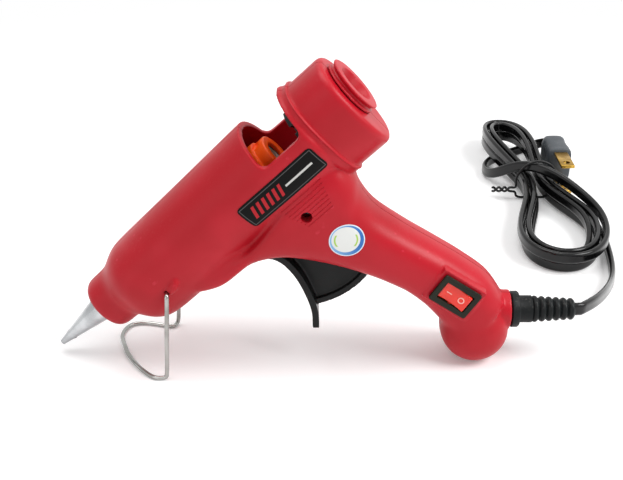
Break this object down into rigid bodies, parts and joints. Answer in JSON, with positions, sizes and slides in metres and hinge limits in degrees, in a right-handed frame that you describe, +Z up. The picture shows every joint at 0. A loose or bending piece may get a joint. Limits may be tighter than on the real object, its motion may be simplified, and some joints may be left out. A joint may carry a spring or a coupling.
{
  "type": "hot glue applicator",
  "caption": "Small hand-held hot glue applicator with a trigger-fed glue stick, a folding wire stand, a rocker switch and a mains lead.",
  "frame": {"origin": "on the surface that the applicator stands on, under the middle of the applicator's box without its lead", "axes": "+X from the nozzle towards the lead, +Y away from the switch side, +Z up"},
  "size_m": [0.2172, 0.2157, 0.1084],
  "materials": {
    "shell_plastic": "moulded, satin to gloss, crimson red",
    "nozzle_metal": "turned and polished",
    "cast_metal": "as cast",
    "insulating_film": "thin amber film",
    "contact_brass": "stamped",
    "heater_ceramic": "fired, matt",
    "silicone": "matt silicone",
    "spring_steel": "bright drawn",
    "stand_wire": "plated wire",
    "carriage_plastic": "moulded orange",
    "black_plastic": "moulded black",
    "rocker_plastic": "glossy red",
    "soft_black": "moulded soft plastic",
    "lead_sheath": "smooth soft sheath",
    "plug_plastic": "moulded dark grey",
    "tie_sheath": "coated wire",
    "core_brown": "brown sleeve",
    "core_blue": "blue sleeve"
  },
  "bodies": {
    "gun": {"left_shell": "shell_plastic", "right_shell": "shell_plastic", "nozzle": "nozzle_metal", "melt_chamber": "cast_metal", "heater_film": "insulating_film", "electrode_upper": "contact_brass", "electrode_lower": "contact_brass", "heater_element": "heater_ceramic", "inlet_sleeve": "silicone", "sleeve_clip": "spring_steel", "return_spring": "spring_steel", "trigger_pin": "spring_steel", "stick_guide": "black_plastic", "entry_ring": "shell_plastic", "screw_web": "spring_steel", "screw_barrel": "spring_steel", "screw_block": "spring_steel", "screw_handle": "spring_steel", "screw_knob": "spring_steel", "switch_housing": "black_plastic", "switch_terminal_load": "contact_brass", "switch_terminal_live": "contact_brass", "strain_relief": "soft_black", "lead_inside": "lead_sheath", "lead_clamp": "black_plastic", "lead_clamp_screw_low": "spring_steel", "lead_clamp_screw_high": "spring_steel", "core_live": "core_brown", "core_switched": "core_brown", "core_neutral": "core_blue", "cord_run": "lead_sheath", "cord_hank": "lead_sheath", "cord_tail": "lead_sheath", "plug_body": "plug_plastic", "plug_blade_low": "contact_brass", "plug_blade_high": "contact_brass", "twist_tie": "tie_sheath"},
    "trigger_lever": {"trigger": "black_plastic"},
    "feed_carriage": {"carriage": "carriage_plastic", "grip_bush": "silicone"},
    "stand": {"wire_stand": "stand_wire"},
    "rocker": {"switch_rocker": "rocker_plastic"}
  },
  "joints": [
    {"name": "trigger_pull", "type": "hinge", "parent": "gun", "child": "trigger_lever", "pos_m": [-0.00638, 0, 0.05063], "axis": [0, -1, 0], "range_deg": [0, 24], "stiffness_Nm_per_rad": 0.05, "springref_deg": -17.19},
    {"name": "carriage_slide", "type": "slide", "parent": "gun", "child": "feed_carriage", "axis": [-0.7278, 0, -0.6858], "range_m": [0, 0.01004], "deforming": ["return_spring"]},
    {"name": "stand_fold", "type": "hinge", "parent": "gun", "child": "stand", "pos_m": [-0.04919, 0, 0.03351], "axis": [0, -1, 0], "range_deg": [0, 95]},
    {"name": "switch_rock", "type": "hinge", "parent": "gun", "child": "rocker", "pos_m": [0.04682, -0.0121, 0.03066], "axis": [0.5534, 0, 0.8329], "range_deg": [0, 18]}
  ],
  "couplings": [
    {"joint": "carriage_slide", "follows": "trigger_pull", "m_per_rad": 0.023952}
  ]
}
